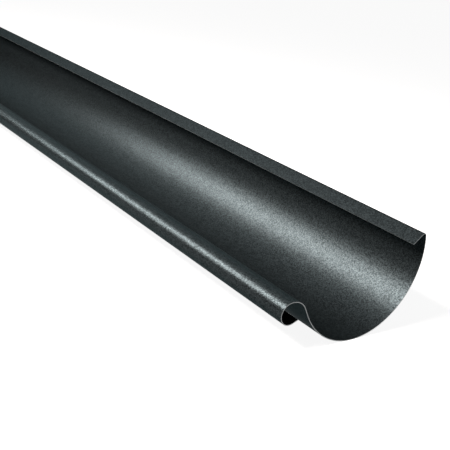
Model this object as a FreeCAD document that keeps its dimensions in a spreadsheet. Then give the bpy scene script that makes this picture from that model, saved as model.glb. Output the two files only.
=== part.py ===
import FreeCAD, Part
import Sketcher
import os
from math import atan2, cos, degrees, radians, sin

# Half-round gutter, roll-formed from one strip of sheet steel. The sketch is the line
# of the sheet's water side, seen along the gutter: x runs from the bead to the rear
# wall, y runs up, and the centre of the trough is the origin. Sizes in mm and degrees.

SIZES = [
    ("length", 2000, "one stock length of gutter"),
    ("gauge", 0.6, "sheet thickness"),
    ("trough_radius", 62.5, "half-round trough, water side"),
    ("flank_slope", 20, "lean of the front flank from the vertical"),
    ("flank_length", 7.2, "flat between the trough and the shoulder"),
    ("shoulder_radius", 14.8, "roll-over from the flank to the bead's crown"),
    ("bead_radius", 9.2, "outside of the rolled bead"),
    ("bead_wrap", 192, "turn of the bead from its crown to the flat tail"),
    ("tail_length", 5.2, "flat tail that ends the bead"),
    ("rear_rise", 6.3, "height of the rear wall above the trough's centre"),
    ("fold_radius", 2.0, "inside of the rear fold"),
    ("lip_slope", 29, "fall of the rear lip into the trough"),
    ("lip_length", 11.6, "flat of the rear lip"),
]
SIZE = {name: value for name, value, note in SIZES}


def sizes_sheet(doc):
    sheet = doc.addObject("Spreadsheet::Sheet", "sizes")
    for row, (name, value, note) in enumerate(SIZES, start=1):
        sheet.set("A%d" % row, name)
        sheet.set("B%d" % row, str(value))
        sheet.set("C%d" % row, note)
        sheet.setAlias("B%d" % row, name)
    return sheet


def on_circle(centre, radius, angle):
    turn = radians(angle)
    return (centre[0] + radius * cos(turn), centre[1] + radius * sin(turn))


def arc(centre, radius, start, end):
    axis = FreeCAD.Vector(0, 0, 1)
    circle = Part.Circle(FreeCAD.Vector(centre[0], centre[1], 0), axis, radius)
    return Part.ArcOfCircle(circle, radians(start), radians(end))


def line(start, end):
    a = FreeCAD.Vector(start[0], start[1], 0)
    b = FreeCAD.Vector(end[0], end[1], 0)
    return Part.LineSegment(a, b)


def rear_shapes(size):
    """Trough arc, rear fold and lip, worked from the trough's centre."""
    radius = size["trough_radius"]
    rise = degrees(atan2(size["rear_rise"], (radius ** 2 - size["rear_rise"] ** 2) ** 0.5))
    trough = arc((0, 0), radius, 180 + size["flank_slope"], 360 + rise)
    fold_centre = on_circle((0, 0), radius - size["fold_radius"], rise)
    fold_end = 90 + size["lip_slope"]
    fold = arc(fold_centre, size["fold_radius"], rise, fold_end)
    lip_start = on_circle(fold_centre, size["fold_radius"], fold_end)
    lip_end = on_circle(lip_start, size["lip_length"], 180 + size["lip_slope"])
    return trough, fold, line(lip_start, lip_end)


def front_shapes(size):
    """Flank, shoulder, bead and tail, worked outwards from the trough."""
    slope = size["flank_slope"]
    flank_foot = on_circle((0, 0), size["trough_radius"], 180 + slope)
    flank_top = on_circle(flank_foot, size["flank_length"], 90 + slope)
    shoulder_centre = on_circle(flank_top, size["shoulder_radius"], 180 + slope)
    shoulder = arc(shoulder_centre, size["shoulder_radius"], slope, 90)
    crown = on_circle(shoulder_centre, size["shoulder_radius"], 90)
    bead_centre = on_circle(crown, size["bead_radius"], 270)
    bead_end = 90 + size["bead_wrap"]
    bead = arc(bead_centre, size["bead_radius"], 90, bead_end)
    tail_start = on_circle(bead_centre, size["bead_radius"], bead_end)
    tail_end = on_circle(tail_start, size["tail_length"], 90 + bead_end)
    return line(flank_top, flank_foot), shoulder, bead, line(tail_start, tail_end)


def profile_sketch(body):
    planes = [item for item in body.Origin.OriginFeatures if item.Role == "XZ_Plane"]
    sketch = body.newObject("Sketcher::SketchObject", "sheet_line")
    sketch.AttachmentSupport = (planes[0], [""])
    sketch.MapMode = "FlatFace"
    return sketch


def draw_profile(sketch):
    trough_arc, fold_arc, lip_line = rear_shapes(SIZE)
    flank_line, shoulder_arc, bead_arc, tail_line = front_shapes(SIZE)
    chain = [tail_line, bead_arc, shoulder_arc, flank_line, trough_arc, fold_arc, lip_line]
    tail, bead, shoulder, flank, trough, fold, lip = sketch.addGeometry(chain, False)

    first, last, centre = 1, 2, 3
    sketch.addConstraint(Sketcher.Constraint("Coincident", trough, centre, -1, 1))
    sketch.addConstraint(Sketcher.Constraint("Tangent", tail, first, bead, last))
    sketch.addConstraint(Sketcher.Constraint("Tangent", bead, first, shoulder, last))
    sketch.addConstraint(Sketcher.Constraint("Tangent", shoulder, first, flank, first))
    sketch.addConstraint(Sketcher.Constraint("Tangent", flank, last, trough, first))
    sketch.addConstraint(Sketcher.Constraint("Tangent", trough, last, fold, first))
    sketch.addConstraint(Sketcher.Constraint("Tangent", fold, last, lip, first))
    sketch.addConstraint(Sketcher.Constraint("Vertical", bead, centre, bead, first))

    slope = radians(SIZE["flank_slope"])
    fall = radians(SIZE["lip_slope"])
    wrap = radians(SIZE["bead_wrap"])
    named = [
        ("trough_radius", Sketcher.Constraint("Radius", trough, SIZE["trough_radius"])),
        ("shoulder_radius", Sketcher.Constraint("Radius", shoulder, SIZE["shoulder_radius"])),
        ("bead_radius", Sketcher.Constraint("Radius", bead, SIZE["bead_radius"])),
        ("fold_radius", Sketcher.Constraint("Radius", fold, SIZE["fold_radius"])),
        ("flank_length", Sketcher.Constraint("Distance", flank, SIZE["flank_length"])),
        ("tail_length", Sketcher.Constraint("Distance", tail, SIZE["tail_length"])),
        ("lip_length", Sketcher.Constraint("Distance", lip, SIZE["lip_length"])),
        ("rear_rise", Sketcher.Constraint("DistanceY", -1, 1, trough, last, SIZE["rear_rise"])),
        ("flank_slope", Sketcher.Constraint("Angle", -2, 1, flank, last, slope)),
        ("lip_slope", Sketcher.Constraint("Angle", -1, 1, lip, last, fall)),
        ("bead_wrap", Sketcher.Constraint("Angle", bead, wrap)),
    ]
    for name, constraint in named:
        index = sketch.addConstraint(constraint)
        sketch.renameConstraint(index, name)
        sketch.setExpression("Constraints." + name, "sizes." + name)


def sheet_body(doc):
    body = doc.addObject("PartDesign::Body", "half_round_gutter")
    sketch = profile_sketch(body)
    draw_profile(sketch)
    strip = body.newObject("PartDesign::SubShapeBinder", "strip")
    strip.Support = [(sketch, ("",))]
    strip.OffsetOpenResult = True
    strip.OffsetFill = True
    strip.MakeFace = True
    strip.setExpression("Offset", "sizes.gauge")
    run = body.newObject("PartDesign::Pad", "run")
    run.Profile = (strip, [""])
    run.Midplane = True
    run.setExpression("Length", "sizes.length")
    return body


def lay_on_floor(body):
    """Roll the gutter about its trough until its weight hangs over the line it rests on."""
    weight = body.Shape.CenterOfMass
    roll = degrees(atan2(-weight.x, -weight.z))
    lift = FreeCAD.Vector(0, 0, SIZE["trough_radius"] + SIZE["gauge"])
    body.Placement = FreeCAD.Placement(lift, FreeCAD.Rotation(FreeCAD.Vector(0, -1, 0), roll))


def check(doc, body):
    for item in doc.Objects:
        if "Invalid" in item.State or "Error" in item.State:
            raise RuntimeError("%s: %s" % (item.Name, item.State))
    if body.Shape.isNull() or not body.Shape.isValid():
        raise RuntimeError("the gutter has no valid shape")
    if len(body.Shape.Solids) != 1:
        raise RuntimeError("the gutter is not one solid")


os.makedirs("parts", exist_ok=True)
doc = FreeCAD.newDocument("gutter")
sizes_sheet(doc)
doc.recompute()
gutter = sheet_body(doc)
doc.recompute()
lay_on_floor(gutter)
doc.recompute()
check(doc, gutter)
gutter.Shape.exportStep("parts/half_round_gutter.step")
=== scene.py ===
import bmesh
import bpy
from math import asin, cos, radians, sin
from mathutils import Euler, Matrix, Vector


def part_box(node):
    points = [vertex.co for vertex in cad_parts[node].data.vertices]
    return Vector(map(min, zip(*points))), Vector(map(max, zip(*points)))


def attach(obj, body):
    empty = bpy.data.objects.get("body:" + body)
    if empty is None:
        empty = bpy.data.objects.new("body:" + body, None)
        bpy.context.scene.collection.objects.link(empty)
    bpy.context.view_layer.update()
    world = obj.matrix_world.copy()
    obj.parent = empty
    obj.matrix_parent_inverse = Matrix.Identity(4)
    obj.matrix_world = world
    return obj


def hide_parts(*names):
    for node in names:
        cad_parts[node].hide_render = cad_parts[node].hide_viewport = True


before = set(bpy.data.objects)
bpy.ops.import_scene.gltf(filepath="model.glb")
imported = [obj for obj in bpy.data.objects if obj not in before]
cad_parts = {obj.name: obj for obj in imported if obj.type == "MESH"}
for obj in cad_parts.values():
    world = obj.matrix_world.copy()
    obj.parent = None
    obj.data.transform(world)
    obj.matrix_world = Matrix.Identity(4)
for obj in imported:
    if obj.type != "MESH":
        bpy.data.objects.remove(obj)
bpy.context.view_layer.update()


# ---------------------------------------------------------------- gutter
# One strip of sheet steel with a fine-textured anthracite coat, bent by rollers: a lip folded
# in at the rear, the half-round trough, a flat flank, and a bead rolled outwards. Bare steel
# shows on its slit edges and sawn ends. It lies on its trough, rolled over by the bead's weight.

low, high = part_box("half_round_gutter")
length = high[1] - low[1]
gauge = 0.0006
trough_radius = high[0] - gauge
trough_centre = Vector((0, 0, high[0]))
rest_turn = radians(11.746)

rear_height = 0.0063
rear_rise = asin(rear_height / trough_radius)
fold_radius = 0.002
lip_slope = radians(29)
lip_length = 0.0116
flank_slope = radians(20)
flank_length = 0.0072
shoulder_radius = 0.0148
bead_radius = 0.0092
bead_wrap = radians(192)
tail_length = 0.0052

trough_steps = 110
fold_steps = 14
shoulder_steps = 16
bead_steps = 48
sharp_angle = radians(40)

dark_flake = (0.0122, 0.0157, 0.0166, 1)
light_flake = (0.0582, 0.0733, 0.0774, 1)
flake_size = 0.00075
coat_metallic = 0.85
coat_edge_tint = (0.40, 0.475, 0.49, 1)
coat_roughness = 0.35
roughness_spread = 0.03
texture_depth = 0.0001

steel_colour = (0.70, 0.74, 0.75, 1)
steel_metallic = 0.9
steel_roughness = 0.45


def heading(angle):
    return Vector((cos(angle), 0, sin(angle)))


def flat(strip, tip, angle, run):
    """Adds a straight run to the strip's section, from its tip, and gives its end."""
    grown = bmesh.ops.extrude_vert_indiv(strip, verts=[tip])
    end = grown["verts"][0]
    bmesh.ops.translate(strip, verts=[end], vec=heading(angle) * run)
    return end


def bend(strip, tip, angle, radius, turn, steps):
    """Adds a bend to the left, from the strip's tip, and gives its end and the new heading."""
    centre = tip.co + heading(angle + radians(90)) * radius
    arc = bmesh.ops.spin(strip, geom=[tip], cent=centre, axis=(0, -1, 0), angle=turn, steps=steps)
    end = [part for part in arc["geom_last"] if isinstance(part, bmesh.types.BMVert)][0]
    return end, angle + turn


def strip_section():
    """Draws the sheet's water side as seen along the gutter, about the trough's centre."""
    strip = bmesh.new()
    foot = strip.verts.new(heading(radians(180) + flank_slope) * trough_radius)

    way = flank_slope - radians(90)
    trough_turn = radians(180) - flank_slope + rear_rise
    tip, way = bend(strip, foot, way, trough_radius, trough_turn, trough_steps)
    fold_turn = radians(90) + lip_slope - rear_rise
    tip, way = bend(strip, tip, way, fold_radius, fold_turn, fold_steps)
    flat(strip, tip, way, lip_length)

    way = radians(90) + flank_slope
    tip = flat(strip, foot, way, flank_length)
    shoulder_turn = radians(90) - flank_slope
    tip, way = bend(strip, tip, way, shoulder_radius, shoulder_turn, shoulder_steps)
    tip, way = bend(strip, tip, way, bead_radius, bead_wrap, bead_steps)
    flat(strip, tip, way, tail_length)
    return strip


def roll_sheet(strip):
    """Runs the section along the gutter, gives it the sheet's thickness and lays it down."""
    swept = bmesh.ops.extrude_edge_only(strip, edges=strip.edges[:])
    far_end = [part for part in swept["geom"] if isinstance(part, bmesh.types.BMVert)]
    bmesh.ops.translate(strip, verts=far_end, vec=(0, length, 0))
    bmesh.ops.translate(strip, verts=strip.verts[:], vec=(0, -length / 2, 0))
    bmesh.ops.recalc_face_normals(strip, faces=strip.faces[:])
    bmesh.ops.solidify(strip, geom=strip.faces[:], thickness=gauge)
    rest = Matrix.Translation(trough_centre) @ Matrix.Rotation(-rest_turn, 4, "Y")
    bmesh.ops.transform(strip, matrix=rest, verts=strip.verts[:])
    bmesh.ops.recalc_face_normals(strip, faces=strip.faces[:])


def mark_cut_edges(strip):
    """Smooths the sheet but not its corners, and gives its cut edges the bare steel."""
    for face in strip.faces:
        face.smooth = True
    for edge in strip.edges:
        if edge.calc_face_angle() > sharp_angle:
            edge.smooth = False
    for face in strip.faces:
        sawn = abs(face.normal.y) > 0.9
        slit = all(not edge.smooth for edge in face.edges)
        if sawn or slit:
            face.material_index = 1


def new_material(name):
    material = bpy.data.materials.new(name)
    material.use_nodes = True
    return material, material.node_tree.nodes["Principled BSDF"]


def textured_coat():
    """Cells the size of a flake, each with its own colour and gloss, over a low relief."""
    material, shader = new_material("anthracite_coat")
    nodes, links = material.node_tree.nodes, material.node_tree.links
    shader.inputs["Metallic"].default_value = coat_metallic
    shader.inputs["Specular Tint"].default_value = coat_edge_tint

    place = nodes.new("ShaderNodeTexCoord")
    flakes = nodes.new("ShaderNodeTexVoronoi")
    flakes.inputs["Scale"].default_value = 1 / flake_size
    links.new(place.outputs["Object"], flakes.inputs["Vector"])
    chance = nodes.new("ShaderNodeSeparateColor")
    links.new(flakes.outputs["Color"], chance.inputs["Color"])

    # The Mix node's colours A and B are its sockets 6 and 7, and its colour result is 2.
    colour = nodes.new("ShaderNodeMix")
    colour.data_type = "RGBA"
    colour.inputs[6].default_value = dark_flake
    colour.inputs[7].default_value = light_flake
    links.new(chance.outputs["Red"], colour.inputs["Factor"])
    links.new(colour.outputs[2], shader.inputs["Base Color"])

    gloss = nodes.new("ShaderNodeMapRange")
    gloss.inputs["To Min"].default_value = coat_roughness + roughness_spread
    gloss.inputs["To Max"].default_value = coat_roughness - roughness_spread
    links.new(chance.outputs["Green"], gloss.inputs["Value"])
    links.new(gloss.outputs["Result"], shader.inputs["Roughness"])

    relief = nodes.new("ShaderNodeTexNoise")
    relief.inputs["Scale"].default_value = 1 / flake_size
    relief.inputs["Detail"].default_value = 1.0
    links.new(place.outputs["Object"], relief.inputs["Vector"])
    bump = nodes.new("ShaderNodeBump")
    bump.inputs["Distance"].default_value = texture_depth
    links.new(relief.outputs["Fac"], bump.inputs["Height"])
    links.new(bump.outputs["Normal"], shader.inputs["Normal"])
    return material


def cut_steel():
    material, shader = new_material("cut_steel")
    shader.inputs["Base Color"].default_value = steel_colour
    shader.inputs["Metallic"].default_value = steel_metallic
    shader.inputs["Roughness"].default_value = steel_roughness
    return material


strip = strip_section()
roll_sheet(strip)
mark_cut_edges(strip)
mesh = bpy.data.meshes.new("rolled_gutter")
strip.to_mesh(mesh)
strip.free()
mesh.materials.append(textured_coat())
mesh.materials.append(cut_steel())
gutter = bpy.data.objects.new("rolled_gutter", mesh)
bpy.context.scene.collection.objects.link(gutter)
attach(gutter, "root")
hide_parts("half_round_gutter")


# ---------------------------------------------------------------- studio
# The gutter lies on a wide floor in a plain room, both white to the camera and dimmer as the
# coat mirrors them. A strip light hangs before the bead. That light and the camera are placed
# for the gutter as it hangs, about the trough's centre at the near end, then turned with it.

hung = Matrix.Translation((0, low[1], trough_centre.z)) @ Matrix.Rotation(-rest_turn, 4, "Y")

floor_width = 40
floor_glow = {"lit": 0.0, "mirrored": 0.25, "seen": 0.9}
floor_grey = {"lit": 0.15, "mirrored": 0.15, "seen": 0.8}

room_lit = 0.06
room_seen = 1.0
room_mirrored = 0.5
room_bright_way = (0.35, 0, 0.94)
room_full_height = 0.4

light_width = 0.21
light_length = 1.0
light_power = 10.5
light_colour = (1, 0.91, 0.875)
light_place = (-0.256, 0.455, 0.344)
light_pitch = radians(-3)
light_roll = radians(-25)

lens_length = 64.16
sensor_width = 36
camera_place = (-0.3932, -0.3581, 0.2984)
camera_fall = radians(26.90)
camera_heading = radians(-36.03)


def background_level(nodes, links, lit, mirrored, seen):
    """Gives a background's strength as a light, in a reflection and as the camera sees it.

    The one in a reflection is a number, or the output of a node.
    """
    rays = nodes.new("ShaderNodeLightPath")
    reflection = nodes.new("ShaderNodeMix")
    reflection.inputs["A"].default_value = lit
    links.new(rays.outputs["Is Glossy Ray"], reflection.inputs["Factor"])
    if isinstance(mirrored, bpy.types.NodeSocket):
        links.new(mirrored, reflection.inputs["B"])
    else:
        reflection.inputs["B"].default_value = mirrored
    view = nodes.new("ShaderNodeMix")
    view.inputs["B"].default_value = seen
    links.new(rays.outputs["Is Camera Ray"], view.inputs["Factor"])
    links.new(reflection.outputs["Result"], view.inputs["A"])
    return view.outputs["Result"]


def white_floor():
    bpy.ops.mesh.primitive_plane_add(size=floor_width)
    floor = bpy.context.object
    floor.name = "floor"
    material, shader = new_material("white_floor")
    nodes, links = material.node_tree.nodes, material.node_tree.links
    shader.inputs["Roughness"].default_value = 1.0
    shader.inputs["Specular IOR Level"].default_value = 0
    shader.inputs["Emission Color"].default_value = (1, 1, 1, 1)
    links.new(background_level(nodes, links, **floor_glow), shader.inputs["Emission Strength"])
    links.new(background_level(nodes, links, **floor_grey), shader.inputs["Base Color"])
    floor.data.materials.append(material)
    return floor


def white_room():
    """Mirrored, the room is dark at floor level before the bead, and brighter up and behind."""
    world = bpy.data.worlds.new("room")
    bpy.context.scene.world = world
    world.use_nodes = True
    nodes, links = world.node_tree.nodes, world.node_tree.links
    direction = nodes.new("ShaderNodeTexCoord")
    height = nodes.new("ShaderNodeVectorMath")
    height.operation = "DOT_PRODUCT"
    height.inputs[1].default_value = room_bright_way
    links.new(direction.outputs["Generated"], height.inputs[0])
    brightness = nodes.new("ShaderNodeMapRange")
    brightness.inputs["From Max"].default_value = room_full_height
    brightness.inputs["To Max"].default_value = room_mirrored
    links.new(height.outputs["Value"], brightness.inputs["Value"])
    level = background_level(nodes, links, room_lit, brightness.outputs["Result"], room_seen)
    background = nodes["Background"]
    background.inputs["Color"].default_value = (1, 1, 1, 1)
    links.new(level, background.inputs["Strength"])


def strip_light():
    lamp = bpy.data.lights.new("strip", "AREA")
    lamp.shape = "RECTANGLE"
    lamp.size = light_width
    lamp.size_y = light_length
    lamp.color = light_colour
    lamp.energy = light_power
    light = bpy.data.objects.new("strip", lamp)
    tilt = Matrix.Rotation(light_pitch, 4, "X") @ Matrix.Rotation(light_roll, 4, "Y")
    light.matrix_world = hung @ Matrix.Translation(light_place) @ tilt
    light.visible_camera = False
    bpy.context.scene.collection.objects.link(light)


def camera():
    lens = bpy.data.cameras.new("camera")
    lens.lens = lens_length
    lens.sensor_width = sensor_width
    eye = bpy.data.objects.new("camera", lens)
    look = Euler((radians(90) - camera_fall, 0, camera_heading)).to_matrix().to_4x4()
    eye.matrix_world = hung @ Matrix.Translation(camera_place) @ look
    bpy.context.scene.collection.objects.link(eye)
    bpy.context.scene.camera = eye


white_floor()
white_room()
strip_light()
camera()
bpy.context.scene.view_settings.view_transform = "Standard"
